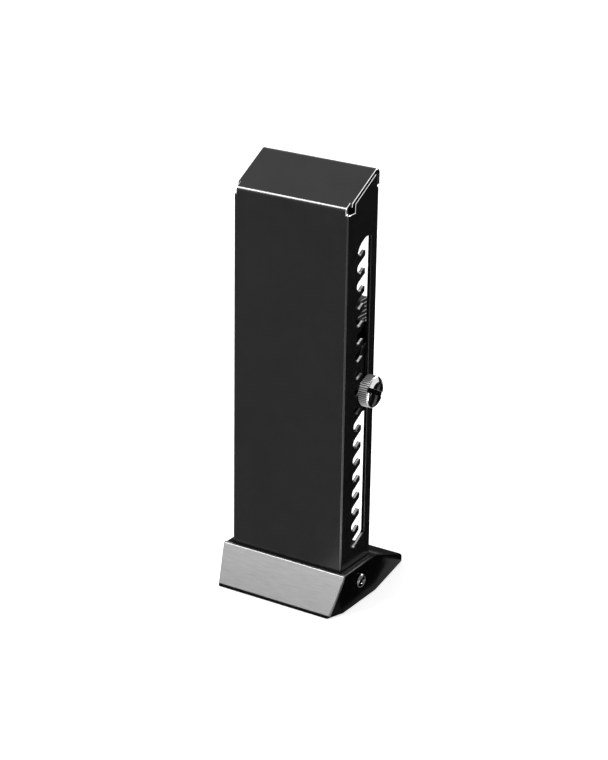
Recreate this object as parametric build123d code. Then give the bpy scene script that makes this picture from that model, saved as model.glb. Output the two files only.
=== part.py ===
"""Graphics card support bracket: a folded steel column with toothed slots on a wedge-shaped base.

Millimetres, +Z up, +Y to the back, where the arm reaches under the card. The origin is the centre
of the base's underside.
"""

from build123d import *
from math import cos, floor, hypot, pi, radians, sin, tan
import os

os.makedirs("parts", exist_ok=True)

# Sheet metal of the column and the arm
SHEET = 1.5
BEND_INSIDE = 0.5

# Base: a nose sloping up to a flat top, and a long ramp down to the tail
BASE_H = 16.2
BASE_WALL = 2.7
NOSE_RUN = 7.9
NOSE_INSET = 2.7
TAIL_RUN = 28.5
TAIL_INSET = 4.5
TAIL_H = 3.7
BASE_EDGE = 0.6
RIM_LIFT = 0.4
PLATE_T = 1.2
PLATE_LIP = 1.7
PLATE_EDGE = 0.2

# Underside of the base: a steel cover on four bosses, and a rubber sheet
FOOT_T = 1.0
FOOT_MARGIN = 1.2
FOOT_R = 2.0
COVER_T = 1.5
COVER_GAP = 0.2
BOSS_D = 7.0
BOSS_FROM_WALL = 8.8
BOSS_FROM_PANEL = 9.35
BOSS_DOWN_RAMP = 11.05
COVER_SCREW_D = 2.6
COVER_SCREW_LEN = 6.0
COVER_SCREW_HEAD_D = 5.0

# Column: front panel, two side walls, sloping top flap with a rear lip
COL_W = 50.6
COL_D = 21.35
COL_RISE = 147.6
COL_SETBACK = 2.2
COL_REAR_MARGIN = 0.95
COL_GAP = 0.2
FOLD_OUTSIDE = 0.8
FOLD_INSIDE = 0.2
FLAP_ANGLE = 29.1
LIP_PROUD = 0.6
LIP_H = 6.5
LIP_GAP = 0.9
SEAM = 0.2
RELIEF_DROP = 2.6
RELIEF_D = 5.1
FLAP_RELIEF_W = 1.0
FLAP_RELIEF_D = 2.8
CORNER_TAB_W = 4.0
CORNER_TAB_DROP = 3.0

# Toothed slot: an upright channel, with a row of inclined notches in front of it
PITCH = 7.07
NOTCH_RUN = 5.55
NOTCH_ANGLE = 29.0
CHANNEL_FROM_REAR = 6.3
LOW_POCKET_LIFT = 9.2
SLOT_TOP_MARGIN = 11.0
SLOT_SWEEP_R = 7.9
SLOT_CROWN = 1.3
TOOTH_BLUNT = 0.5

# Screws through the base's sides into the column
SIDE_SCREW_D = 3.0
SIDE_SCREW_HEAD_D = 5.6
SIDE_SCREW_HEAD_H = 1.9
SIDE_SCREW_EDGE = 0.9
SIDE_SCREW_Y = 9.6
SIDE_SCREW_Z = 10.0
SIDE_SCREW_LEN = 6.5
HOLE_GAP = 0.2
THREAD_GAP = 0.05
CROSS_W = 0.8
CROSS_SPAN = 3.1
CROSS_DEPTH = 1.0

# Thumbscrew, its washer and nut, and the guide pin opposite
SHANK_D = 3.5
SHANK_GAP = 0.25
SCREW_LIFT = 71.8
HEAD_D = 12.6
HEAD_L = 4.8
KNURLS = 44
KNURL_DEPTH = 0.45
HEAD_EDGE = 0.5
FACE_D = 8.6
FACE_RISE = 0.8
DRIVER_SLOT_W = 2.0
DRIVER_SLOT_DEPTH = 1.3
DRIVER_SLOT_TURN = -27.0
WASHER_D = 9.5
WASHER_T = 0.6
WASHER_GAP = 0.1
NUT_D = 8.0
NUT_T = 3.2
NUT_COLLAR_D = 5.4
SHANK_TAIL = 1.0
PIN_HEAD_D = 7.6
PIN_HEAD_T = 1.3
PIN_EDGE = 0.7
PIN_SPIGOT_D = 3.0
PIN_RIVET_D = 4.8
PIN_RIVET_T = 0.8

# Arm: a web behind the column, cheeks inside its walls and a tongue to the back
ARM_GAP = 0.3
ARM_PROUD = 4.25
ARM_ABOVE_SCREW = 24.6
ARM_BELOW_SCREW = 10.0
CHEEK_FRONT = 5.0
CHEEK_ABOVE_SCREW = 17.0
CHEEK_STEP = 1.2
CHEEK_R = 3.0
TONGUE_W = 24.0
TONGUE_REACH = 12.5
TONGUE_R = 3.0
TONGUE_RELIEF = 0.8

# Rubber pad: a sleeve on the tongue, domed above
PAD_FROM_WEB = 1.0
PAD_SIDE = 1.5
PAD_OVER = 4.8
PAD_UNDER = 3.3
PAD_DOME_R = 4.5
PAD_FIT = 0.05

# Folds
BEND_MID = BEND_INSIDE + SHEET / 2
BEND_OUTSIDE = BEND_INSIDE + SHEET

# Places on the base, from the column that it holds
BASE_W = COL_W + 2 * (COL_GAP + BASE_WALL)
FLAT_LEN = COL_SETBACK + COL_D + COL_REAR_MARGIN
BASE_LEN = NOSE_RUN + FLAT_LEN + TAIL_RUN
NOSE_Y = -BASE_LEN / 2
TOP_FRONT_Y = NOSE_Y + NOSE_RUN
TOP_REAR_Y = TOP_FRONT_Y + FLAT_LEN
TAIL_Y = BASE_LEN / 2
COVER_TOP = FOOT_T + COVER_T

# Places on the column
COL_Y = TOP_FRONT_Y + COL_SETBACK
COL_REAR_Y = COL_Y + COL_D
COL_H = BASE_H + COL_RISE
SLOT_W = SHANK_D + 2 * SHANK_GAP
SLOT_Y = COL_REAR_Y - CHANNEL_FROM_REAR
NOTCH_RISE = NOTCH_RUN * tan(radians(NOTCH_ANGLE))
LOW_JUNCTION_Z = BASE_H + LOW_POCKET_LIFT + NOTCH_RISE
TEETH = floor((COL_H - SLOT_TOP_MARGIN - SLOT_W / 2 - LOW_JUNCTION_Z) / PITCH)
RELIEF_Y = COL_Y + RELIEF_D
BOSS_X = COL_W / 2 - SHEET - BOSS_FROM_WALL
BOSS_Y = (COL_Y + SHEET + BOSS_FROM_PANEL, TOP_REAR_Y + BOSS_DOWN_RAMP)

# Places on the arm
SCREW_Z = BASE_H + SCREW_LIFT
ARM_TOP = SCREW_Z + ARM_ABOVE_SCREW
ARM_REAR_Y = COL_REAR_Y + ARM_PROUD
CHEEK_X = COL_W / 2 - SHEET - ARM_GAP
WEB_Y = ARM_REAR_Y - SHEET / 2
TONGUE_Y = ARM_REAR_Y + TONGUE_REACH

# Planes whose Z looks out of the part, with Y as local X and +Z as local Y on the right side
RIGHT_SCREW = Plane((COL_W / 2, SLOT_Y, SCREW_Z), x_dir=(0, 1, 0), z_dir=(1, 0, 0))
LEFT_PIN = Plane((-COL_W / 2, SLOT_Y, SCREW_Z), x_dir=(0, -1, 0), z_dir=(-1, 0, 0))
BASE_SIDE = Plane((BASE_W / 2, COL_Y + SIDE_SCREW_Y, SIDE_SCREW_Z), x_dir=(0, 1, 0), z_dir=(1, 0, 0))
NOSE = Plane((0, TOP_FRONT_Y, BASE_H), x_dir=(1, 0, 0), z_dir=(0, -BASE_H, NOSE_RUN))


def outline(points):
    """Face inside a closed run of straight edges."""
    return make_face(Polyline(*points, close=True))


def across(profile, width):
    """Solid of a (y, z) profile, centred on the part's middle plane."""
    return extrude(Plane.YZ * profile, amount=width / 2, both=True)


def upright(profile, low, high):
    """Solid of an (x, y) profile between two heights."""
    return extrude(Pos(0, 0, low) * profile, amount=high - low)


def folded(points):
    """Section of folded sheet along its middle line."""
    return trace(FilletPolyline(*points, radius=BEND_MID), line_width=SHEET)


def disc(diameter, low, high):
    """Round bar along Z between two heights."""
    return upright(Circle(diameter / 2), low, high)


def base_core(inset, low, high):
    """The base's form, drawn in by inset on every side, between two heights."""
    half = BASE_W / 2
    side = [
        (half - NOSE_INSET, NOSE_Y),
        (half, TOP_FRONT_Y),
        (half, TOP_REAR_Y),
        (half - TAIL_INSET, TAIL_Y),
    ]
    plan = outline(side + [(-x, y) for x, y in reversed(side)])
    profile = outline(
        [
            (NOSE_Y - NOSE_RUN, -BASE_H),
            (TOP_FRONT_Y, BASE_H),
            (TOP_REAR_Y, BASE_H),
            (TAIL_Y, TAIL_H),
            (TAIL_Y, -BASE_H),
        ]
    )
    if inset:
        plan = offset(plan, -inset, kind=Kind.INTERSECTION)
        profile = offset(profile, -inset, kind=Kind.INTERSECTION)
    return upright(plan, low, high) & across(profile, BASE_W)


def plate_blank():
    """Full-thickness slab on the nose, from the base's top down to the lip."""
    slope = hypot(BASE_H, NOSE_RUN)
    slab = Pos(0, -(slope - PLATE_LIP) / 2, -PLATE_T / 2) * Box(BASE_W, slope - PLATE_LIP, PLATE_T)
    over_top = Pos(0, PLATE_T, -PLATE_T / 2) * Box(BASE_W, 2 * PLATE_T, PLATE_T)
    return base_core(0, RIM_LIFT, BASE_H) & (NOSE * (slab + over_top))


def front_rounded(half, front, rear, radius):
    """Rectangle in plan with its two front corners rounded."""
    block = outline([(-half, rear), (-half, front), (half, front), (half, rear)])
    return fillet(block.vertices().group_by(Axis.Y)[0], radius)


def channel_section(grow=0.0):
    """The column's U in plan, thickened by grow on each face; its folds are cut in, so they are sharp."""
    half = COL_W / 2 + grow
    front = COL_Y - grow
    rear = COL_REAR_Y + grow
    wall = SHEET + 2 * grow
    block = front_rounded(half, front, rear, FOLD_OUTSIDE + grow)
    return block - front_rounded(half - wall, front + wall, rear, FOLD_INSIDE)


def cover_screw_spots():
    """Where the cover's screws and their bosses stand."""
    return [Pos(x, y) for y in BOSS_Y for x in (-BOSS_X, BOSS_X)]


def bosses(diameter, low, high):
    """The four cover bosses, or the holes in them."""
    return [spot * disc(diameter, low, high) for spot in cover_screw_spots()]


def base_shell():
    """Moulded shell, open below, with a U-shaped slit for the column."""
    form = base_core(0, RIM_LIFT, BASE_H)
    top = form.faces().sort_by(Axis.Z)[-1]
    shell = chamfer(top.edges().filter_by(Axis.Y), BASE_EDGE)
    ramp = shell.faces().filter_by(lambda f: f.center().Y > TOP_REAR_Y).sort_by(Axis.Z)[-1]
    shell = chamfer(ramp.edges().filter_by(lambda e: e.center().Y > TOP_REAR_Y + BASE_EDGE), BASE_EDGE)
    shell -= plate_blank()
    shell -= base_core(BASE_WALL, 0, BASE_H)
    room = base_core(BASE_WALL / 2, COVER_TOP, BASE_H)
    shell += [boss & room for boss in bosses(BOSS_D, COVER_TOP, BASE_H)]
    shell -= bosses(COVER_SCREW_D + 2 * THREAD_GAP, 0, FOOT_T + COVER_SCREW_LEN + THREAD_GAP)
    shell -= upright(channel_section(COL_GAP), COVER_TOP, 2 * BASE_H)
    hole = BASE_SIDE * disc(SIDE_SCREW_D + 2 * HOLE_GAP, -2 * BASE_WALL, 0)
    return shell - hole - mirror(hole, Plane.YZ)


def front_plate():
    """Brushed plate on the nose, its outer edges broken."""
    plate = plate_blank()
    face = plate.faces().sort_by(Axis(NOSE.origin, NOSE.z_dir))[-1]
    return chamfer(face.edges(), PLATE_EDGE)


def base_screw():
    """Pan-head screw with a cross recess, along Z with its seat at 0."""
    head = disc(SIDE_SCREW_HEAD_D, 0, SIDE_SCREW_HEAD_H)
    head = chamfer(head.edges().sort_by(Axis.Z)[-1], SIDE_SCREW_EDGE)
    cross = Rectangle(CROSS_SPAN, CROSS_W) + Rectangle(CROSS_W, CROSS_SPAN)
    head -= upright(cross, SIDE_SCREW_HEAD_H - CROSS_DEPTH, SIDE_SCREW_HEAD_H)
    return head + disc(SIDE_SCREW_D, -SIDE_SCREW_LEN, 0)


def bottom_cover():
    """Steel plate inside the shell's rim, countersunk for its screws."""
    cover = base_core(BASE_WALL + COVER_GAP, FOOT_T, COVER_TOP)
    sinks = [spot * cover_screw(COVER_GAP / 2) for spot in cover_screw_spots()]
    return cover - sinks


def cover_screw(grow=0.0):
    """Countersunk screw pointing up, its head flush with the cover's underside."""
    head = COVER_SCREW_HEAD_D / 2 + grow
    shank = COVER_SCREW_D / 2 + grow
    end = FOOT_T + COVER_SCREW_LEN
    sink = FOOT_T + head - shank
    half = outline([(0, FOOT_T), (head, FOOT_T), (shank, sink), (shank, end), (0, end)])
    return revolve(Plane.XZ * half, Axis.Z)


def foot_pad():
    """Rubber sheet under the cover."""
    sheet = base_core(BASE_WALL + FOOT_MARGIN, 0, FOOT_T)
    return fillet(sheet.edges().filter_by(Axis.Z), FOOT_R)


def toothed_slot():
    """The slot in (y, z): channel and notches joined, the teeth blunted, the upper end one round sweep."""
    length = NOTCH_RUN / cos(radians(NOTCH_ANGLE))
    travel = PITCH * TEETH
    slot = Pos(SLOT_Y, LOW_JUNCTION_Z + travel / 2) * SlotCenterToCenter(travel, SLOT_W, rotation=90)
    for i in range(TEETH + 1):
        middle = Pos(SLOT_Y - NOTCH_RUN / 2, LOW_JUNCTION_Z + i * PITCH - NOTCH_RISE / 2)
        slot += middle * SlotCenterToCenter(length, SLOT_W, rotation=NOTCH_ANGLE)
    tip_y = SLOT_Y - SLOT_W / 2
    corners = slot.vertices().sort_by(lambda v: abs(v.X - tip_y))[: 2 * TEETH]
    slot = chamfer(corners.sort_by(Axis.Y)[1::2], TOOTH_BLUNT)
    sweep_z = LOW_JUNCTION_Z + travel + SLOT_CROWN - SLOT_SWEEP_R
    sweep = Pos(SLOT_Y, sweep_z) * Circle(SLOT_SWEEP_R)
    return slot & (sweep + Pos(SLOT_Y, sweep_z / 2) * Rectangle(2 * COL_D, sweep_z))


def flap_line():
    """Middle line of the strip in (y, z): up the panel, back along the flap, down the lip."""
    slope = tan(radians(FLAP_ANGLE))
    panel_y = COL_Y + SHEET / 2
    lip_y = COL_REAR_Y + LIP_PROUD - SHEET / 2
    front_z = COL_H + SHEET / 2 * slope - SHEET / 2 / cos(radians(FLAP_ANGLE))
    rear_z = front_z + (lip_y - panel_y) * slope
    return [(panel_y, COL_H - RELIEF_DROP), (panel_y, front_z), (lip_y, rear_z), (lip_y, rear_z - LIP_H)]


def under_flap(y):
    """Height of the walls' upper edge at a depth, just under the flap."""
    (panel_y, _), (_, front_z), _, _ = flap_line()
    angle = radians(FLAP_ANGLE)
    return front_z - (SHEET / 2 + SEAM) / cos(angle) + (y - panel_y) * tan(angle)


def wall_side():
    """A side wall in (y, z): cut back under the flap, round the lip and at the front corner."""
    (_, panel_z), _, (lip_y, _), (_, lip_z) = flap_line()
    lip_front = lip_y - SHEET / 2 - SEAM
    return outline(
        [
            (COL_Y, COVER_TOP),
            (COL_REAR_Y, COVER_TOP),
            (COL_REAR_Y, lip_z - LIP_GAP),
            (lip_front, lip_z - LIP_GAP),
            (lip_front, under_flap(lip_front)),
            (RELIEF_Y, under_flap(RELIEF_Y)),
            (RELIEF_Y, panel_z),
            (COL_Y, panel_z),
        ]
    )


def corner_tab():
    """Tab turned in from the right wall behind its front relief, which it closes to view."""
    outer = (COL_W - SHEET) / 2
    inner = COL_W / 2 - SHEET - CORNER_TAB_W
    section = Pos((inner + outer) / 2, RELIEF_Y + SHEET / 2) * Rectangle(outer - inner, SHEET)
    return upright(section, COL_H - RELIEF_DROP - CORNER_TAB_DROP, under_flap(RELIEF_Y))


def column():
    """Channel with the flap folded over its top, and a toothed slot down each side wall."""
    strip = across(folded(flap_line()), COL_W)
    for side in (-1, 1):
        corner = Box(2 * FLAP_RELIEF_W, 2 * FLAP_RELIEF_D, COL_H)
        strip -= Pos(side * COL_W / 2, COL_Y, COL_H) * corner
    body = upright(channel_section(), COVER_TOP, 2 * COL_H) & across(wall_side(), COL_W)
    body += strip + corner_tab() + mirror(corner_tab(), Plane.YZ)
    body -= across(toothed_slot(), 2 * COL_W)
    hole = BASE_SIDE * disc(SIDE_SCREW_D + 2 * THREAD_GAP, -2 * SIDE_SCREW_LEN, 0)
    return body - hole - mirror(hole, Plane.YZ)


def cheek_side():
    """The arm's carriage in (y, z): full height at the web, lower and rounded towards the screw."""
    front = SLOT_Y - CHEEK_FRONT
    bottom = SCREW_Z - ARM_BELOW_SCREW
    shoulder = ARM_TOP - SHEET / 2
    top = SCREW_Z + CHEEK_ABOVE_SCREW
    step = COL_REAR_Y + CHEEK_STEP
    side = outline(
        [
            (front, bottom),
            (ARM_REAR_Y, bottom),
            (ARM_REAR_Y, shoulder),
            (step, shoulder),
            (step, top),
            (SLOT_Y, top),
            (front, SCREW_Z + CHEEK_FRONT),
        ]
    )
    return fillet(side.vertices().filter_by(lambda v: v.X < step - SHEET), CHEEK_R)


def arm():
    """Folded arm: a U-shaped carriage between the walls, and a tongue turned back from its web."""
    x = CHEEK_X - SHEET / 2
    front = SLOT_Y - CHEEK_FRONT
    carriage = upright(folded([(-x, front), (-x, WEB_Y), (x, WEB_Y), (x, front)]), 0, ARM_TOP)
    carriage &= across(cheek_side(), COL_W)
    tongue_z = ARM_TOP - SHEET / 2
    root = ARM_TOP - SHEET - BEND_OUTSIDE
    gap = Box(TONGUE_W + 2 * TONGUE_RELIEF, 2 * SHEET, 2 * (ARM_TOP - root))
    carriage -= Pos(0, WEB_Y, ARM_TOP) * gap
    line = [(WEB_Y, root), (WEB_Y, tongue_z), (TONGUE_Y, tongue_z)]
    tongue = across(folded(line), TONGUE_W)
    corners = tongue.edges().filter_by(Axis.Z).group_by(Axis.Y)[-1]
    body = carriage + fillet(corners, TONGUE_R)
    body -= RIGHT_SCREW * disc(NUT_COLLAR_D, -COL_W / 2, 0)
    return body - LEFT_PIN * disc(PIN_SPIGOT_D + 2 * THREAD_GAP, -COL_W / 2, 0)


def arm_pad():
    """Rubber sleeve pushed over the tongue from behind; its top is rounded to the front and the back."""
    front = ARM_REAR_Y + PAD_FROM_WEB
    rear = TONGUE_Y + PAD_SIDE
    low = ARM_TOP - SHEET - PAD_UNDER
    high = ARM_TOP + PAD_OVER
    side = outline([(front, low), (rear, low), (rear, high), (front, high)])
    sleeve = across(fillet(side.vertices().group_by(Axis.Y)[-1], PAD_DOME_R), TONGUE_W + 2 * PAD_SIDE)
    half = TONGUE_W / 2 + PAD_FIT
    end = TONGUE_Y + PAD_FIT
    room = outline([(-half, COL_REAR_Y), (half, COL_REAR_Y), (half, end), (-half, end)])
    room = fillet(room.vertices().group_by(Axis.Y)[-1], TONGUE_R)
    return sleeve - upright(room, ARM_TOP - SHEET, ARM_TOP)


def clinch_nut():
    """Round nut on the inner side of the right cheek, its collar pressed into the cheek."""
    outer = -(SHEET + ARM_GAP)
    inner = outer - SHEET
    nut = disc(NUT_D, inner - NUT_T, inner)
    nut += disc(NUT_COLLAR_D - 2 * THREAD_GAP, inner, outer - THREAD_GAP)
    return RIGHT_SCREW * (nut - disc(SHANK_D + 2 * THREAD_GAP, inner - NUT_T, outer))


def guide_pin():
    """Headed pin in the left slot, riveted to the left cheek."""
    outer = -(SHEET + ARM_GAP)
    inner = outer - SHEET
    pin = disc(PIN_HEAD_D, SHANK_GAP, SHANK_GAP + PIN_HEAD_T)
    pin = chamfer(pin.edges().sort_by(Axis.Z)[-1], PIN_EDGE)
    pin += disc(SHANK_D, outer, SHANK_GAP)
    pin += disc(PIN_SPIGOT_D, inner - PIN_RIVET_T, outer)
    return LEFT_PIN * (pin + disc(PIN_RIVET_D, inner - PIN_RIVET_T, inner))


def thumbscrew_washer():
    """Plain washer between the thumbscrew's head and the wall."""
    ring = disc(WASHER_D, WASHER_GAP, WASHER_GAP + WASHER_T)
    return RIGHT_SCREW * (ring - disc(SHANK_D + 2 * THREAD_GAP, 0, 2 * WASHER_T))


def knurled_rim(length):
    """Ring of V-shaped ridges."""
    radii = (HEAD_D / 2, HEAD_D / 2 - KNURL_DEPTH)
    points = []
    for i in range(2 * KNURLS):
        turn = pi * i / KNURLS
        points.append((radii[i % 2] * cos(turn), radii[i % 2] * sin(turn)))
    return extrude(outline(points), amount=length)


def thumbscrew():
    """Knurled head with a raised, slotted face, on a plain shank."""
    seat = WASHER_GAP + WASHER_T
    half = HEAD_D / 2
    rim = HEAD_L - FACE_RISE
    profile = outline(
        [
            (0, 0),
            (half, 0),
            (half, rim - HEAD_EDGE),
            (half - HEAD_EDGE, rim),
            (FACE_D / 2, HEAD_L),
            (0, HEAD_L),
        ]
    )
    head = revolve(Plane.XZ * profile, Axis.Z) & knurled_rim(HEAD_L)
    cross = Rectangle(HEAD_D, DRIVER_SLOT_W) + Rectangle(DRIVER_SLOT_W, HEAD_D)
    head -= upright(cross, HEAD_L - DRIVER_SLOT_DEPTH, HEAD_L)
    reach = seat + SHEET + ARM_GAP + SHEET + NUT_T + SHANK_TAIL
    screw = head + disc(SHANK_D, -reach, 0)
    return RIGHT_SCREW * Pos(0, 0, seat) * Rot(0, 0, DRIVER_SLOT_TURN) * screw


parts = {
    "column": column(),
    "base_shell": base_shell(),
    "front_plate": front_plate(),
    "base_screw_right": BASE_SIDE * base_screw(),
    "base_screw_left": mirror(BASE_SIDE * base_screw(), Plane.YZ),
    "bottom_cover": bottom_cover(),
    "foot_pad": foot_pad(),
    "arm": arm(),
    "arm_pad": arm_pad(),
    "clinch_nut": clinch_nut(),
    "guide_pin": guide_pin(),
    "thumbscrew_washer": thumbscrew_washer(),
    "thumbscrew": thumbscrew(),
}
for number, spot in enumerate(cover_screw_spots(), 1):
    parts[f"cover_screw_{number}"] = spot * cover_screw()

for name, shape in parts.items():
    export_step(shape, f"parts/{name}.step")
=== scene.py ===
"""Finishes of a graphics card support bracket, laid over its solids and shown in a studio.

Metres, +Z up, +Y to the back. The sections follow the bracket as it is put together: base and foot,
column, arm and pad, clamp, and then the floor, light and camera.
"""

from functools import partial
from math import cos, pi, radians, sin

import bmesh
import bpy
from mathutils import Matrix, Vector


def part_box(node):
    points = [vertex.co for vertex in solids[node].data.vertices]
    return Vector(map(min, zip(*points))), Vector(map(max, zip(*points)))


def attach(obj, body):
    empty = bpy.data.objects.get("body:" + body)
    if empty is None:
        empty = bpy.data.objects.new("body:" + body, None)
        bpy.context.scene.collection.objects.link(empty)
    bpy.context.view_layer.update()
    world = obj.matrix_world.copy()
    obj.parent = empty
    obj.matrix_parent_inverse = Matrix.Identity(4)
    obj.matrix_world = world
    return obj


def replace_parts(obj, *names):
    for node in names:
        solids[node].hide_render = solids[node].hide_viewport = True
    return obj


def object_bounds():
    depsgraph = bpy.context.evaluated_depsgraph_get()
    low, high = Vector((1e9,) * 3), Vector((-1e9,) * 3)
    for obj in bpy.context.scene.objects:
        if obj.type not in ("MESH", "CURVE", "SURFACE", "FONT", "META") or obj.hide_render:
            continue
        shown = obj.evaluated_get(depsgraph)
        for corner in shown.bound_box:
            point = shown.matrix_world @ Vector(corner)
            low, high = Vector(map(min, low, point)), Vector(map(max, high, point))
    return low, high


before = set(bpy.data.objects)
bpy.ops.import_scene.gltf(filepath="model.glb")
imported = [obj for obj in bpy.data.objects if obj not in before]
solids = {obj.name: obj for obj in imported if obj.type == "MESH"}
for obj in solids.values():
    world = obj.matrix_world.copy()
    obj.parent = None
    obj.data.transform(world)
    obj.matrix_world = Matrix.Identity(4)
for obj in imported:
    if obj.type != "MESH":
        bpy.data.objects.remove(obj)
solid_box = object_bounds()

# Base shell
# A wedge moulded in black plastic, open below, with a slit for the column. The mould leaves a fine
# grain on its faces and a small radius on every edge.

MM = 0.001
MERGE = 0.001 * MM
FLAT = radians(0.2)
CORNER = radians(28)
ROUND_STEPS = 2
NOISE_DETAIL = 3.0
NOISE_ROUGHNESS = 0.55
NOISE_LOW = 0.3
NOISE_HIGH = 0.7
COLOUR_STOPS = (0.35, 0.65)
LEVEL = (0.0, 0.0, 1.0)
SIDEWAYS = (1.0, 0.0, 0.0)
MOULDING_BLACK = (0.0022, 0.0022, 0.0023, 1.0)
MOULDING_WORN = (0.0040, 0.0040, 0.0041, 1.0)
MOULDING_SHEEN = 0.015
MOULDING_ROUGHNESS = (0.12, 0.18)
MOULDING_CLOUD = 9 * MM
MOULDING_GRAIN = 0.3 * MM
MOULDING_DEPTH = 0.02 * MM
MOULDING_ROUND = 0.25 * MM


def feed(tree, node, inputs):
    """Fills a node's inputs: one is linked if it is given a socket, and set if it is given a value."""
    for key, value in inputs.items():
        if isinstance(value, bpy.types.NodeSocket):
            tree.links.new(value, node.inputs[key])
        else:
            node.inputs[key].default_value = value


def step(tree, kind, inputs=None, **settings):
    """New node of a tree, with its settings and inputs."""
    node = tree.nodes.new(kind)
    for key, value in settings.items():
        setattr(node, key, value)
    feed(tree, node, inputs or {})
    return node


def new_finish(name):
    """Material with its node tree and main shader."""
    material = bpy.data.materials.new(name)
    material.use_nodes = True
    return material, material.node_tree, material.node_tree.nodes["Principled BSDF"]


def speckle(tree, size, stretch=(1.0, 1.0, 1.0)):
    """Noise of a grain size on the piece's own coordinates."""
    place = step(tree, "ShaderNodeTexCoord").outputs["Object"]
    spread = step(tree, "ShaderNodeMapping", {"Vector": place, "Scale": stretch}).outputs["Vector"]
    noise = {"Vector": spread, "Scale": 1 / size, "Detail": NOISE_DETAIL, "Roughness": NOISE_ROUGHNESS}
    return step(tree, "ShaderNodeTexNoise", noise).outputs["Fac"]


def vary(tree, factor, span):
    """Number that a noise drives from one end of a span to the other."""
    low, high = span
    reach = {"Value": factor, "From Min": NOISE_LOW, "From Max": NOISE_HIGH, "To Min": low, "To Max": high}
    return step(tree, "ShaderNodeMapRange", reach).outputs["Result"]


def shade(tree, factor, dark, light):
    """Colour that a noise drives from dark to light."""
    ramp = step(tree, "ShaderNodeValToRGB", {"Fac": factor})
    for stop, place, colour in zip(ramp.color_ramp.elements, COLOUR_STOPS, (dark, light)):
        stop.position = place
        stop.color = colour
    return ramp.outputs["Color"]


def emboss(tree, height, depth):
    """Normal of a fine relief."""
    return step(tree, "ShaderNodeBump", {"Height": height, "Distance": depth}).outputs["Normal"]


def moulded_black():
    """Black plastic with a fine mould grain."""
    material, tree, shader = new_finish("moulded_black")
    grain = speckle(tree, MOULDING_GRAIN)
    finish = {
        "Base Color": shade(tree, speckle(tree, MOULDING_CLOUD), MOULDING_BLACK, MOULDING_WORN),
        "Specular IOR Level": MOULDING_SHEEN,
        "Roughness": vary(tree, grain, MOULDING_ROUGHNESS),
        "Normal": emboss(tree, grain, MOULDING_DEPTH),
    }
    feed(tree, shader, finish)
    return material


def show(mesh, name, body, material, slot, *stands_for):
    """Puts a finished mesh on a body, in the place of the solids that it stands for."""
    mesh.materials.clear()
    mesh.materials.append(material)
    mesh.shade_smooth()
    piece = bpy.data.objects.new(name, mesh)
    bpy.context.scene.collection.objects.link(piece)
    piece.modifiers.new("even_shading", "WEIGHTED_NORMAL").keep_sharp = True
    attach(piece, body)
    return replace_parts(piece, *stands_for)


def middle(node):
    """Centre of a solid's box."""
    low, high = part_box(node)
    return (low + high) / 2


def merged(node, *cuts):
    """Copy of a solid's mesh, its triangles joined into whole faces, which still part at the cuts."""
    work = bmesh.new()
    work.from_mesh(solids[node].data)
    bmesh.ops.remove_doubles(work, verts=work.verts, dist=MERGE)
    for place, across in cuts:
        everything = work.verts[:] + work.edges[:] + work.faces[:]
        cut = bmesh.ops.bisect_plane(work, geom=everything, plane_co=place, plane_no=across, dist=MERGE)
        for edge in cut["geom_cut"]:
            if isinstance(edge, bmesh.types.BMEdge):
                edge.seam = True
    bmesh.ops.dissolve_limit(work, angle_limit=FLAT, verts=work.verts, edges=work.edges, delimit={"SEAM"})
    return work


def plain(work, name="plain"):
    """Mesh of a shape in the making."""
    mesh = bpy.data.meshes.new(name)
    work.to_mesh(mesh)
    work.free()
    return mesh


def round_corners(work, radius, kept=()):
    """Rounds every outward sharp edge of a merged solid, apart from the kept ones, and gives its mesh."""
    corners = [e for e in work.edges if e.is_manifold and e.is_convex and e.calc_face_angle() > CORNER]
    bmesh.ops.bevel(
        work,
        geom=[e for e in corners if e not in kept],
        offset=radius,
        offset_type="OFFSET",
        segments=ROUND_STEPS,
        profile=0.5,
        affect="EDGES",
        clamp_overlap=False,
    )
    return plain(work)


base_cuts = ((middle("base_shell"), SIDEWAYS), (middle("base_screw_right"), LEVEL))
moulding = round_corners(merged("base_shell", *base_cuts), MOULDING_ROUND)
show(moulding, "base_moulding", "stand", moulded_black(), "black_moulding", "base_shell")

# Front plate
# A thin aluminium plate glued to the base's nose. It is brushed along its length, clear anodised, and
# its edges are cut bright.

PLATE_DARK = (0.20, 0.20, 0.203, 1.0)
PLATE_LIGHT = (0.255, 0.255, 0.258, 1.0)
PLATE_METAL = 0.55
PLATE_ROUGHNESS = (0.34, 0.46)
BRUSH_WIDTH = 0.10 * MM
BRUSH_STRETCH = (0.02, 1.0, 1.0)
BRUSH_DEPTH = 0.004 * MM


def brushed_aluminium():
    """Aluminium with long fine scratches across the plate."""
    material, tree, shader = new_finish("brushed_aluminium")
    scratches = speckle(tree, BRUSH_WIDTH, BRUSH_STRETCH)
    finish = {
        "Base Color": shade(tree, scratches, PLATE_DARK, PLATE_LIGHT),
        "Metallic": PLATE_METAL,
        "Roughness": vary(tree, scratches, PLATE_ROUGHNESS),
        "Normal": emboss(tree, scratches, BRUSH_DEPTH),
    }
    feed(tree, shader, finish)
    return material


nose = plain(merged("front_plate"))
show(nose, "nose_plate", "stand", brushed_aluminium(), "brushed_plate", "front_plate")

# Base screws
# Two pan-head steel screws with cross recesses, one through each side of the base into the column's
# walls. They are bright zinc plated.

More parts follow.
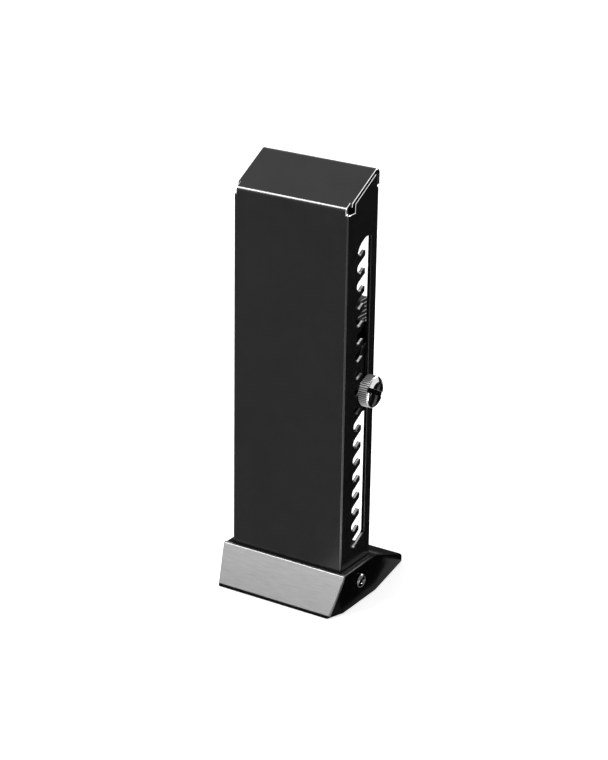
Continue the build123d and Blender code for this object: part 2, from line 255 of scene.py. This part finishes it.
ZINC_DARK = (0.09, 0.09, 0.092, 1.0)
ZINC_LIGHT = (0.17, 0.17, 0.173, 1.0)
ZINC_ROUGHNESS = (0.14, 0.24)
ZINC_PATCH = 1.2 * MM
ZINC_GRAIN = 0.15 * MM
ZINC_DEPTH = 0.003 * MM
SCREW_TURNS = 64
SCREW_SHANK_RADIUS = 1.5 * MM
DOME_STEPS = 10
RIM_SHARE = 0.35
RECESS_SPAN = 3.4 * MM
RECESS_WIDTH = 0.75 * MM
RECESS_DEPTH = 1.3 * MM
RECESS_TAPER = 0.45
RECESS_RISE = 0.05 * MM
RECESS_TURN = radians(18)


def plated_zinc():
    """Bright plated steel, a little uneven."""
    material, tree, shader = new_finish("plated_zinc")
    patches = speckle(tree, ZINC_PATCH)
    finish = {
        "Base Color": shade(tree, patches, ZINC_DARK, ZINC_LIGHT),
        "Metallic": 1.0,
        "Roughness": vary(tree, patches, ZINC_ROUGHNESS),
        "Normal": emboss(tree, speckle(tree, ZINC_GRAIN), ZINC_DEPTH),
    }
    feed(tree, shader, finish)
    return material


def turned(profile, count):
    """Closed profile of (radius, height) points, turned about Z between its two poles."""
    work = bmesh.new()
    rings = []
    for radius, height in profile[1:-1]:
        turns = [2 * pi * i / count for i in range(count)]
        rings.append([work.verts.new((radius * cos(a), radius * sin(a), height)) for a in turns])
    first, last = (work.verts.new((0, 0, profile[end][1])) for end in (0, -1))
    for i in range(count):
        j = (i + 1) % count
        work.faces.new((first, rings[0][j], rings[0][i]))
        work.faces.new((last, rings[-1][i], rings[-1][j]))
        for above, below in zip(rings, rings[1:]):
            work.faces.new((above[i], above[j], below[j], below[i]))
    bmesh.ops.recalc_face_normals(work, faces=work.faces)
    return work


def placed(content, name):
    """Object of a mesh, a lamp or a camera, put in the scene."""
    thing = bpy.data.objects.new(name, content)
    bpy.context.scene.collection.objects.link(thing)
    return thing


def settled(thing):
    """Plain mesh of an object with its modifiers worked in; the object goes."""
    graph = bpy.context.evaluated_depsgraph_get()
    mesh = bpy.data.meshes.new_from_object(thing.evaluated_get(graph))
    bpy.data.objects.remove(thing)
    return mesh


def cross_cutter(top):
    """Tapered cross that cuts a driver recess down from a height."""
    work = bmesh.new()
    for turn in (0, pi / 2):
        arm = bmesh.ops.create_cube(work, size=1.0)["verts"]
        for vert in arm:
            narrow = RECESS_TAPER if vert.co.z < 0 else 1.0
            vert.co.x *= RECESS_SPAN * narrow
            vert.co.y *= RECESS_WIDTH
            vert.co.z = top + (vert.co.z - 0.5) * RECESS_DEPTH + RECESS_RISE
        bmesh.ops.rotate(work, verts=arm, matrix=Matrix.Rotation(turn + RECESS_TURN, 3, "Z"))
    return placed(plain(work, "cross_cutter"), "cross_cutter")


def pan_head_screw(head_radius, head_height, shank_radius, length):
    """Screw along Z with its seat at the origin: a domed head with a cross recess, on a plain shank."""
    rim = RIM_SHARE * head_height
    profile = [(0, head_height)]
    for i in range(1, DOME_STEPS + 1):
        turn = pi / 2 * i / DOME_STEPS
        profile.append((head_radius * sin(turn), rim + (head_height - rim) * cos(turn)))
    profile += [(head_radius, 0), (shank_radius, 0), (shank_radius, -length), (0, -length)]
    screw = placed(plain(turned(profile, SCREW_TURNS), "pan_head_screw"), "pan_head_screw")
    cutter = cross_cutter(head_height)
    cut = screw.modifiers.new("recess", "BOOLEAN")
    cut.object = cutter
    cut.use_self = True
    mesh = settled(screw)
    bpy.data.objects.remove(cutter)
    return mesh


def new_tree(name, inputs):
    """Geometry tree with named inputs, and the sockets that give them."""
    tree = bpy.data.node_groups.new(name, "GeometryNodeTree")
    for label, kind in inputs.items():
        tree.interface.new_socket(label, in_out="INPUT", socket_type=kind)
    tree.interface.new_socket("Geometry", in_out="OUTPUT", socket_type="NodeSocketGeometry")
    return tree, tree.nodes.new("NodeGroupInput").outputs


def grow(tree, geometry, material, values):
    """Ends a tree, runs it with its inputs set, and gives the plain mesh."""
    real = step(tree, "GeometryNodeRealizeInstances", {"Geometry": geometry})
    coated = {"Geometry": real.outputs["Geometry"], "Material": material}
    coat = step(tree, "GeometryNodeSetMaterial", coated)
    tree.links.new(coat.outputs["Geometry"], tree.nodes.new("NodeGroupOutput").inputs["Geometry"])
    host = placed(bpy.data.meshes.new(tree.name), tree.name)
    modifier = host.modifiers.new("grow", "NODES")
    modifier.node_group = tree
    for item in tree.interface.items_tree:
        if item.in_out == "INPUT":
            modifier[item.identifier] = values[item.name]
    return settled(host)


def arithmetic(tree, operation, *terms):
    """Result of one sum in a tree."""
    return step(tree, "ShaderNodeMath", dict(enumerate(terms)), operation=operation).outputs["Value"]


def screws_in_both_sides(material):
    """The two base screws: one screw set on both ends of a line across the base."""
    low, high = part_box("base_screw_right")
    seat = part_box("base_shell")[1].x
    axis = middle("base_screw_right")
    one = pan_head_screw((high.y - low.y) / 2, high.x - seat, SCREW_SHANK_RADIUS, seat - low.x)
    screw = placed(one, "one_screw")
    inputs = {
        "Screw": "NodeSocketObject",
        "Left seat": "NodeSocketVector",
        "Right seat": "NodeSocketVector",
    }
    tree, given = new_tree("base_screws", inputs)
    ends = {"Count": 2, "Start Location": given["Left seat"], "Offset": given["Right seat"]}
    line = step(tree, "GeometryNodeMeshLine", ends, mode="END_POINTS")
    side = step(tree, "GeometryNodeInputIndex").outputs["Index"]
    outward = arithmetic(tree, "MULTIPLY_ADD", side, pi, -pi / 2)
    lean = step(tree, "ShaderNodeCombineXYZ", {"Y": outward})
    turn = step(tree, "FunctionNodeEulerToRotation", {"Euler": lean.outputs["Vector"]})
    pattern = step(tree, "GeometryNodeObjectInfo", {"Object": given["Screw"]})
    both = {
        "Points": line.outputs["Mesh"],
        "Instance": pattern.outputs["Geometry"],
        "Rotation": turn.outputs["Rotation"],
    }
    pair = step(tree, "GeometryNodeInstanceOnPoints", both).outputs["Instances"]
    seats = {
        "Screw": screw,
        "Left seat": (-seat, axis.y, axis.z),
        "Right seat": (seat, axis.y, axis.z),
    }
    mesh = grow(tree, pair, material, seats)
    bpy.data.objects.remove(screw)
    return mesh


zinc = plated_zinc()
side_screws = screws_in_both_sides(zinc)
show(side_screws, "base_screws", "stand", zinc, "plated_steel", "base_screw_right", "base_screw_left")

# Bottom cover
# A zinc-plated steel plate that closes the base from below and weighs it down, held by four
# countersunk screws. The foot pad hides it, apart from its rim.

COVER_SCREWS = 4


def dress(node, material):
    """Gives a solid that is shown as it is its finish."""
    solids[node].data.materials.clear()
    solids[node].data.materials.append(material)


dress("bottom_cover", zinc)
for number in range(1, COVER_SCREWS + 1):
    dress(f"cover_screw_{number}", zinc)

# Foot pad
# A sheet of black rubber stuck under the base, cut with rounded corners. Its skin is matt and a
# little dusty.

RUBBER_BLACK = (0.004, 0.004, 0.004, 1.0)
RUBBER_GREY = (0.009, 0.009, 0.009, 1.0)
RUBBER_SHEEN = 0.1
RUBBER_ROUGHNESS = (0.34, 0.46)
RUBBER_CLOUD = 4 * MM
RUBBER_SKIN = 0.25 * MM
RUBBER_DEPTH = 0.01 * MM
PAD_ROUND = 0.2 * MM


def matt_rubber():
    """Black rubber with a fine dull skin."""
    material, tree, shader = new_finish("matt_rubber")
    skin = speckle(tree, RUBBER_SKIN)
    finish = {
        "Base Color": shade(tree, speckle(tree, RUBBER_CLOUD), RUBBER_BLACK, RUBBER_GREY),
        "Specular IOR Level": RUBBER_SHEEN,
        "Roughness": vary(tree, skin, RUBBER_ROUGHNESS),
        "Normal": emboss(tree, skin, RUBBER_DEPTH),
    }
    feed(tree, shader, finish)
    return material


rubber = matt_rubber()
show(round_corners(merged("foot_pad"), PAD_ROUND), "foot_sheet", "stand", rubber, "rubber", "foot_pad")

# Column
# One folded sheet of steel: front panel, two side walls with toothed slots, and a top flap turned
# down at the back. It is cut before it is folded, then powder coated satin black, edges and all. The
# notches' floors are bare steel, partly the screw's wear and partly a painted highlight, and the bare
# steel along the flap's side edges is a painted highlight.

COAT_BLACK = (0.0072, 0.0072, 0.0074, 1.0)
COAT_GREY = (0.0092, 0.0092, 0.0095, 1.0)
COAT_SHEEN = 0.3
COAT_ROUGHNESS = (0.22, 0.25)
COAT_CLOUD = 14 * MM
COAT_HAZE = 6 * MM
COAT_PEEL = 0.45 * MM
COAT_DEPTH = 0.003 * MM
# Bright steel laid on as a painted highlight, on the flap's edges and on the notches' floors, which the
# screw also wears.
BARE_STEEL_HIGHLIGHT = (0.95, 0.95, 0.96, 1.0)
BARE_DULL = 0.10
SHEET_ROUND = 0.22 * MM
BACKWARD = (0.0, 1.0, 0.0)
NOTCH_FLOOR = Vector((0.0, -sin(radians(29)), cos(radians(29))))
FLOOR_MATCH = 0.96
WALL_DEPTH = 1.6 * MM
# Band of the slots' notches, where bare steel paints a highlight.
NOTCH_BAND_MIDDLE = 24.65 * MM
NOTCH_BAND_WIDTH = 0.40 * MM
FLAP_DEPTH = 20 * MM
LIP_DEPTH = 2 * MM
# Share of bare steel on the rounded edges under the flap: a painted highlight.
EDGE_HIGHLIGHT = 0.9
EDGE_LOW_MATCH = 0.3
EDGE_HIGH_MATCH = 0.95
EDGE_LEAN = 0.3
NECK_FROM_TOP = Vector((0.0, -1.7 * MM, -1.35 * MM))
NECK_CUT = Vector((0.0, -1.2 * MM, 0.0))
NECK_REACH = 0.9 * MM


def powder_coat():
    """Satin black powder coat with a fine orange peel; bare steel where a mesh is marked, as painted
    highlights.
    """
    material, tree, shader = new_finish("powder_coat")
    maths = partial(arithmetic, tree)
    coated = shade(tree, speckle(tree, COAT_CLOUD), COAT_BLACK, COAT_GREY)
    satin = vary(tree, speckle(tree, COAT_HAZE), COAT_ROUGHNESS)
    place = step(tree, "ShaderNodeTexCoord").outputs["Object"]
    aside = step(tree, "ShaderNodeSeparateXYZ", {"Vector": place}).outputs["X"]
    in_band = maths("COMPARE", maths("ABSOLUTE", aside), NOTCH_BAND_MIDDLE, NOTCH_BAND_WIDTH)
    rubbed = step(tree, "ShaderNodeAttribute", attribute_name="rubbed").outputs["Fac"]
    edges = step(tree, "ShaderNodeAttribute", attribute_name="edge_wear").outputs["Fac"]
    # Bare steel: a painted highlight on the flap's edges, and on the notches' floors also the screw's
    # wear.
    bare_highlight_and_wear = maths("MAXIMUM", maths("MULTIPLY", rubbed, in_band), edges)
    highlight_mix = {"Fac": bare_highlight_and_wear, "Color1": coated, "Color2": BARE_STEEL_HIGHLIGHT}
    finish = {
        "Base Color": step(tree, "ShaderNodeMixRGB", highlight_mix).outputs["Color"],
        "Metallic": bare_highlight_and_wear,
        "Specular IOR Level": COAT_SHEEN,
        "Roughness": maths("MULTIPLY_ADD", bare_highlight_and_wear, BARE_DULL, satin),
        "Normal": emboss(tree, speckle(tree, COAT_PEEL), COAT_DEPTH),
    }
    feed(tree, shader, finish)
    return material


def mark_bare_highlights(mesh):
    """Marks painted highlights: the notches' floors, also worn by the screw, and the edges under the flap.
    """
    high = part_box("column")[1]
    flap_foot = high.z - FLAP_DEPTH
    rubbed = mesh.attributes.new("rubbed", "FLOAT", "FACE")
    edges = mesh.attributes.new("edge_wear", "FLOAT", "FACE")
    for face in mesh.polygons:
        in_wall = abs(face.center.x) > high.x - WALL_DEPTH
        at_top = face.center.z > flap_foot and face.center.y < high.y - LIP_DEPTH
        match = face.normal.dot(NOTCH_FLOOR)
        floor = face.center.z < flap_foot and match > FLOOR_MATCH
        rounded = EDGE_LOW_MATCH < match < EDGE_HIGH_MATCH and abs(face.normal.x) > EDGE_LEAN
        # The notches' floors are marked for wear and painted highlight, the edges under the flap for
        # painted highlight.
        rubbed.data[face.index].value = float(in_wall and floor)
        edges.data[face.index].value = EDGE_HIGHLIGHT * float(in_wall and at_top and rounded)
    return mesh


def neck_edges(work, neck):
    """Edges at the walls' tips under the flap's fold, which stand too close together to be rounded."""
    return {e for e in work.edges if min((v.co.yz - neck.yz).length for v in e.verts) < NECK_REACH}


coat = powder_coat()
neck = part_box("column")[1] + NECK_FROM_TOP
wall_cuts = (
    (middle("thumbscrew"), LEVEL),
    (middle("base_screw_right"), LEVEL),
    (neck + NECK_CUT, BACKWARD),
)
folded = merged("column", *wall_cuts)
sheet = mark_bare_highlights(round_corners(folded, SHEET_ROUND, neck_edges(folded, neck)))
show(sheet, "column_sheet", "stand", coat, "black_steel", "column")

# Arm
# A second folded sheet, coated like the column. Its cheeks run inside the column's walls, and its
# tongue reaches to the back under the card.

carrier = round_corners(merged("arm", (middle("thumbscrew"), LEVEL)), SHEET_ROUND)
show(carrier, "arm_sheet", "arm", coat, "black_steel", "arm")

# Arm pad
# A sleeve of soft rubber pushed over the tongue. It is domed where the card rests, and moulded with
# half-round ribs round its sides that let it give.

RIBS = 6
RIB_DEPTH = 0.70 * MM
DOME_RADIUS = 4.5 * MM
PAD_SQUARE = 0.22
PAD_TURNS = 160
PAD_ROWS = 96


def ribbed_sleeve(material):
    """The sleeve: a drum squared off, domed and drawn in between its ribs by a rule."""
    low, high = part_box("arm_pad")
    size = high - low
    inputs = {
        "Half size": "NodeSocketVector",
        "Centre": "NodeSocketVector",
        "Dome radius": "NodeSocketFloat",
        "Rib pitch": "NodeSocketFloat",
        "Rib depth": "NodeSocketFloat",
    }
    tree, given = new_tree("arm_pad_ribs", inputs)
    maths = partial(arithmetic, tree)
    half = step(tree, "ShaderNodeSeparateXYZ", {"Vector": given["Half size"]}).outputs
    place = step(tree, "GeometryNodeInputPosition").outputs["Position"]
    at = step(tree, "ShaderNodeSeparateXYZ", {"Vector": place}).outputs

    def squared(share, reach):
        bulge = maths("POWER", maths("ABSOLUTE", share), PAD_SQUARE)
        return maths("MULTIPLY", maths("MULTIPLY", maths("SIGN", share), bulge), reach)

    drum = {
        "Vertices": PAD_TURNS,
        "Side Segments": PAD_ROWS,
        "Radius": 1.0,
        "Depth": maths("MULTIPLY", half["Z"], 2.0),
    }
    blank = step(tree, "GeometryNodeMeshCylinder", drum).outputs["Mesh"]
    spring = maths("SUBTRACT", half["Z"], given["Dome radius"])
    above = maths("MAXIMUM", maths("SUBTRACT", at["Z"], spring), 0.0)
    left = maths("SUBTRACT", maths("POWER", given["Dome radius"], 2.0), maths("POWER", above, 2.0))
    drawn = maths("SUBTRACT", given["Dome radius"], maths("SQRT", maths("MAXIMUM", left, 0.0)))
    phase = maths("DIVIDE", maths("ADD", at["Z"], half["Z"]), given["Rib pitch"])
    off = maths("MULTIPLY_ADD", maths("PINGPONG", phase, 0.5), -2.0, 1.0)
    crest = maths("SQRT", maths("MAXIMUM", maths("SUBTRACT", 1.0, maths("POWER", off, 2.0)), 0.0))
    groove = maths("MULTIPLY", maths("SUBTRACT", 1.0, crest), given["Rib depth"])
    reach_x = maths("SUBTRACT", half["X"], groove)
    reach_y = maths("SUBTRACT", maths("SUBTRACT", half["Y"], drawn), groove)
    moved = {"X": squared(at["X"], reach_x), "Y": squared(at["Y"], reach_y), "Z": at["Z"]}
    shaped = {"Geometry": blank, "Position": step(tree, "ShaderNodeCombineXYZ", moved).outputs["Vector"]}
    ribbed = step(tree, "GeometryNodeSetPosition", shaped).outputs["Geometry"]
    set_down = {"Geometry": ribbed, "Translation": given["Centre"]}
    seated = step(tree, "GeometryNodeTransform", set_down).outputs["Geometry"]
    values = {
        "Half size": size / 2,
        "Centre": (low + high) / 2,
        "Dome radius": DOME_RADIUS,
        "Rib pitch": size.z / RIBS,
        "Rib depth": RIB_DEPTH,
    }
    return grow(tree, seated, material, values)


show(ribbed_sleeve(rubber), "ribbed_sleeve", "arm", rubber, "rubber", "arm_pad")

# Nut and pin of the arm
# A round nut is pressed into the right cheek for the thumbscrew. A headed pin, riveted to the left
# cheek, keeps the arm in the left slot. Both are turned from steel and plated.

TURNED_ROUND = 0.12 * MM

for node, name in (("clinch_nut", "pressed_nut"), ("guide_pin", "headed_pin")):
    show(round_corners(merged(node), TURNED_ROUND), name, "arm", zinc, "plated_steel", node)

# Washer
# A black nylon washer, stamped from sheet. It lies between the thumbscrew's head and the wall, so that
# the coat isn't scratched.

NYLON_BLACK = (0.016, 0.016, 0.0165, 1.0)
NYLON_GREY = (0.024, 0.024, 0.0245, 1.0)
NYLON_SHEEN = 0.4
NYLON_ROUGHNESS = (0.34, 0.48)
NYLON_CLOUD = 1.5 * MM
NYLON_GRAIN = 0.2 * MM
NYLON_DEPTH = 0.004 * MM
WASHER_ROUND = 0.1 * MM


def black_nylon():
    """Smooth black nylon, a little cloudy."""
    material, tree, shader = new_finish("black_nylon")
    cloud = speckle(tree, NYLON_CLOUD)
    finish = {
        "Base Color": shade(tree, cloud, NYLON_BLACK, NYLON_GREY),
        "Specular IOR Level": NYLON_SHEEN,
        "Roughness": vary(tree, cloud, NYLON_ROUGHNESS),
        "Normal": emboss(tree, speckle(tree, NYLON_GRAIN), NYLON_DEPTH),
    }
    feed(tree, shader, finish)
    return material


ring = round_corners(merged("thumbscrew_washer"), WASHER_ROUND)
show(ring, "nylon_washer", "washer", black_nylon(), "nylon", "thumbscrew_washer")

# Thumbscrew
# A turned steel screw, nickel plated. Its head has a straight knurl, its grooves darkened by painted
# shade, and a raised face with crossed driver slots, and its shank a fine thread.

NICKEL_DARK = (0.62, 0.62, 0.615, 1.0)
NICKEL_LIGHT = (0.88, 0.88, 0.87, 1.0)
NICKEL_ROUGHNESS = (0.38, 0.44)
FACE_POLISH = 0.32
# Painted shade, darkening the knurl's grooves.
GROOVE_SHADE = (0.006, 0.006, 0.006, 1.0)
GROOVE_SHARE = 0.6
RING_WIDTH = 0.12 * MM
RING_DETAIL = 2.0
RING_DEPTH = 0.004 * MM
KNURL_DEPTH = 0.45 * MM
KNURL_MARGIN = 0.03 * MM
KNURL_CREASE = radians(20)
THREAD_PITCH = 0.794 * MM
THREAD_DEPTH = 0.32 * MM
THREAD_ROOT = 0.85
THREAD_BLEND = 0.1
THREAD_STEPS = 10
SHANK_RADIUS = 1.75 * MM
SHANK_TURNS = 48

screw_low, screw_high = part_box("thumbscrew")
shank_tip = screw_low.x
head_radius = (screw_high.z - screw_low.z) / 2
axis_y, axis_z = middle("thumbscrew").yz
head_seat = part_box("thumbscrew_washer")[1].x


def bright_nickel():
    """Nickel plate over turning marks that run round the screw's axis, with painted shade in the knurl's
    grooves.
    """
    material, tree, shader = new_finish("bright_nickel")
    maths = partial(arithmetic, tree)
    place = step(tree, "ShaderNodeTexCoord").outputs["Object"]
    centred = {"Vector": place, "Location": (0.0, -axis_y, -axis_z)}
    spun = step(tree, "ShaderNodeMapping", centred).outputs["Vector"]
    across = step(tree, "ShaderNodeVectorMath", {0: spun, 1: (0.0, 1.0, 1.0)}, operation="MULTIPLY")
    length = step(tree, "ShaderNodeVectorMath", {0: across.outputs["Vector"]}, operation="LENGTH")
    radius = length.outputs["Value"]
    marks = {"W": radius, "Scale": 1 / RING_WIDTH, "Detail": RING_DETAIL}
    rings = step(tree, "ShaderNodeTexNoise", marks, noise_dimensions="1D").outputs["Fac"]
    plated = shade(tree, rings, NICKEL_DARK, NICKEL_LIGHT)
    # Painted shade: the knurl goes dark towards the roots of its grooves.
    root = head_radius - KNURL_DEPTH
    rise = {"Value": radius, "From Min": root, "From Max": root + GROOVE_SHARE * KNURL_DEPTH}
    crest = step(tree, "ShaderNodeMapRange", rise).outputs["Result"]
    face = maths("LESS_THAN", radius, root - KNURL_MARGIN)
    shaded_grooves = {"Fac": maths("MAXIMUM", crest, face), "Color1": GROOVE_SHADE, "Color2": plated}
    finish = {
        "Base Color": step(tree, "ShaderNodeMixRGB", shaded_grooves).outputs["Color"],
        "Metallic": 1.0,
        "Roughness": maths("MULTIPLY_ADD", face, -FACE_POLISH, vary(tree, rings, NICKEL_ROUGHNESS)),
        "Normal": emboss(tree, rings, RING_DEPTH),
    }
    feed(tree, shader, finish)
    return material


def knurled_head():
    """The head alone, cut from the solid at its seat and closed there."""
    work = bmesh.new()
    work.from_mesh(solids["thumbscrew"].data)
    bmesh.ops.remove_doubles(work, verts=work.verts, dist=MERGE)
    cut = bmesh.ops.bisect_plane(
        work,
        geom=work.verts[:] + work.edges[:] + work.faces[:],
        plane_co=(head_seat, 0, 0),
        plane_no=SIDEWAYS,
        dist=MERGE,
        clear_inner=True,
    )
    rim = [e for e in cut["geom_cut"] if isinstance(e, bmesh.types.BMEdge) and e.is_boundary]
    bmesh.ops.holes_fill(work, edges=rim)
    for edge in work.edges:
        edge.smooth = edge.calc_face_angle(0.0) < KNURL_CREASE
    return plain(work)


def threaded_shank(material):
    """Shank from the head's seat to its tip, its surface drawn in along a helix."""
    inputs = {
        "Centre": "NodeSocketVector",
        "Length": "NodeSocketFloat",
        "Crest radius": "NodeSocketFloat",
        "Depth": "NodeSocketFloat",
        "Pitch": "NodeSocketFloat",
    }
    tree, given = new_tree("shank_thread", inputs)
    maths = partial(arithmetic, tree)
    length = head_seat - shank_tip
    bar = {
        "Vertices": SHANK_TURNS,
        "Side Segments": int(length / THREAD_PITCH * THREAD_STEPS),
        "Radius": given["Crest radius"],
        "Depth": given["Length"],
    }
    blank = step(tree, "GeometryNodeMeshCylinder", bar, fill_type="TRIANGLE_FAN").outputs["Mesh"]
    place = step(tree, "GeometryNodeInputPosition").outputs["Position"]
    at = step(tree, "ShaderNodeSeparateXYZ", {"Vector": place}).outputs
    turn = maths("DIVIDE", maths("ARCTAN2", at["Y"], at["X"]), 2 * pi)
    along = maths("SUBTRACT", maths("DIVIDE", at["Z"], given["Pitch"]), turn)
    groove = maths("MULTIPLY", maths("PINGPONG", along, 0.5), 2.0)
    sunk = maths("MULTIPLY", maths("SMOOTH_MIN", groove, THREAD_ROOT, THREAD_BLEND), given["Depth"])
    share = maths("DIVIDE", sunk, given["Crest radius"])
    flat = step(tree, "ShaderNodeCombineXYZ", {"X": at["X"], "Y": at["Y"]}).outputs["Vector"]
    inward = {0: flat, "Scale": maths("MULTIPLY", share, -1.0)}
    pull = step(tree, "ShaderNodeVectorMath", inward, operation="SCALE").outputs["Vector"]
    cut = step(tree, "GeometryNodeSetPosition", {"Geometry": blank, "Offset": pull}).outputs["Geometry"]
    laid = {"Geometry": cut, "Translation": given["Centre"], "Rotation": (0.0, pi / 2, 0.0)}
    seated = step(tree, "GeometryNodeTransform", laid).outputs["Geometry"]
    values = {
        "Centre": ((shank_tip + head_seat) / 2, axis_y, axis_z),
        "Length": length,
        "Crest radius": SHANK_RADIUS,
        "Depth": THREAD_DEPTH,
        "Pitch": THREAD_PITCH,
    }
    return grow(tree, seated, material, values)


nickel = bright_nickel()
head = show(knurled_head(), "knurled_head", "thumbscrew", nickel, "bright_metal", "thumbscrew")
show(threaded_shank(nickel), "threaded_shank", "thumbscrew", nickel, "bright_metal", "thumbscrew")

# The head's mirror image would stand on the wall beside it as a bright patch.
head.visible_glossy = False

# Floor and light
# A pale floor under an even white sky, with one soft box in front, above and to the left. Two more
# lamps, and cards laid on the floor, show only as the finishes mirror them: bright strips draw the
# front's folds, and dark cards keep the right wall and the ramp black.

WHITE = (1.0, 1.0, 1.0, 1.0)
FLOOR_PALE = (0.80, 0.80, 0.80, 1.0)
FLOOR_GLOW = 0.70
FLOOR_REACH = 3.0
FLOOR_HEIGHT = -0.05 * MM
SKY_LIGHT = 0.5
CARD_BLACK = (0.004, 0.004, 0.004, 1.0)
CARD_HEIGHT = 0.05 * MM
STRIP_HEIGHT = 0.1 * MM
STRIP_GLOW = 9.0
CARD_REACH = 1.2
RIGHT_EDGE = 0.031
REAR_EDGE = 0.032
RAMP_END = 0.13
LAMP_DISTANCE = 1.2


def seen_ray(tree):
    """1 for rays that show the background itself: seen, mirrored or through glass."""
    path = step(tree, "ShaderNodeLightPath").outputs
    either = arithmetic(tree, "MAXIMUM", path["Is Camera Ray"], path["Is Glossy Ray"])
    return arithmetic(tree, "MAXIMUM", either, path["Is Transmission Ray"])


def matt_paper(name, colour):
    """Dull paper that glows white, as strongly as its shader is then told to."""
    material, tree, shader = new_finish(name)
    paper = {"Base Color": colour, "Roughness": 1.0, "Specular IOR Level": 0.0, "Emission Color": WHITE}
    feed(tree, shader, paper)
    return material, tree, shader


def pale_floor():
    """Pale paper that keeps the shadow and shows nearly white."""
    material, tree, shader = matt_paper("pale_floor", FLOOR_PALE)
    feed(tree, shader, {"Emission Strength": arithmetic(tree, "MULTIPLY", seen_ray(tree), FLOOR_GLOW)})
    return material


def card_paper(glow):
    """Black card, or a lit panel where it glows."""
    material, tree, shader = matt_paper("card", CARD_BLACK)
    feed(tree, shader, {"Emission Strength": glow})
    return material


def card(name, material, low, high, height):
    """Flat rectangle lying at a height, kept out of the part."""
    work = bmesh.new()
    corners = [(low[0], low[1]), (high[0], low[1]), (high[0], high[1]), (low[0], high[1])]
    work.faces.new([work.verts.new((x, y, height)) for x, y in corners])
    sheet = placed(plain(work, name), name)
    sheet.data.materials.append(material)
    return sheet


def mirrored_card(name, glow, low, high, height):
    """Card on the floor that shows in reflections only."""
    sheet = card(name, card_paper(glow), low, high, height)
    sheet.visible_camera = False
    sheet.visible_diffuse = False
    sheet.visible_shadow = False


def lamp(name, direction, side, power):
    """Square soft box that looks at the bracket's middle."""
    box = bpy.data.lights.new(name, "AREA")
    box.shape = "RECTANGLE"
    box.size = side
    box.size_y = side
    box.energy = power
    holder = placed(box, name)
    aim = Vector(direction).normalized()
    holder.location = (solid_box[0] + solid_box[1]) / 2 + aim * LAMP_DISTANCE
    holder.rotation_euler = aim.to_track_quat("Z", "Y").to_euler()
    holder.visible_camera = False
    return holder


card("floor", pale_floor(), (-FLOOR_REACH, -FLOOR_REACH), (FLOOR_REACH, FLOOR_REACH), FLOOR_HEIGHT)
mirrored_card("dark_card", 0.0, (RIGHT_EDGE, -0.02), (CARD_REACH, CARD_REACH), CARD_HEIGHT)
mirrored_card("ramp_card", 0.03, (-CARD_REACH, REAR_EDGE), (RIGHT_EDGE, RAMP_END), CARD_HEIGHT)
mirrored_card("rear_card", 0.3, (-CARD_REACH, RAMP_END), (RIGHT_EDGE, CARD_REACH), CARD_HEIGHT)
mirrored_card("grey_card", 0.5, (-CARD_REACH, -CARD_REACH), (0.0, -REAR_EDGE), CARD_HEIGHT)
mirrored_card("front_strip", STRIP_GLOW, (0.02, -0.45), (0.06, -0.06), STRIP_HEIGHT)
mirrored_card("side_strip", STRIP_GLOW, (0.07, -0.055), (0.45, -0.022), STRIP_HEIGHT)

lamp("soft_box", (-0.50, -0.55, 0.67), 0.40, 14.0)
lamp("glint_box", (-0.50, -0.42, 0.76), 0.30, 17.0).visible_diffuse = False
lamp("back_strip", (0.36, 0.79, 0.49), 0.30, 20.0).visible_diffuse = False

sky = bpy.data.worlds.new("white_sky")
sky.use_nodes = True
bpy.context.scene.world = sky
air = sky.node_tree
brightness = {"Value": seen_ray(air), "To Min": SKY_LIGHT, "To Max": 1.0}
lit = step(air, "ShaderNodeMapRange", brightness).outputs["Result"]
feed(air, air.nodes["Background"], {"Color": WHITE, "Strength": lit})

# Camera
# A long lens from the front right and above, turned a little on its axis. It takes in the whole
# bracket with clear floor round it.

AZIMUTH = radians(32.22)
ELEVATION = radians(21.55)
ROLL = radians(0.86)
DISTANCE = 873.7 * MM
AIM = Vector((5.04 * MM, -17.00 * MM, 91.29 * MM))
LENS = 108.25
NEAREST = 10 * MM

backward = Vector((sin(AZIMUTH) * cos(ELEVATION), -cos(AZIMUTH) * cos(ELEVATION), sin(ELEVATION)))
level_right = Vector((cos(AZIMUTH), sin(AZIMUTH), 0.0))
level_up = backward.cross(level_right)
right = cos(ROLL) * level_right + sin(ROLL) * level_up
up = cos(ROLL) * level_up - sin(ROLL) * level_right
eye = AIM + DISTANCE * backward

view = bpy.data.cameras.new("camera")
view.lens = LENS
view.clip_start = NEAREST
camera = placed(view, "camera")
turned_to = Matrix((right, up, backward)).transposed().to_4x4()
camera.matrix_world = Matrix.Translation(eye) @ turned_to
bpy.context.scene.camera = camera
bpy.context.scene.view_settings.view_transform = "Standard"
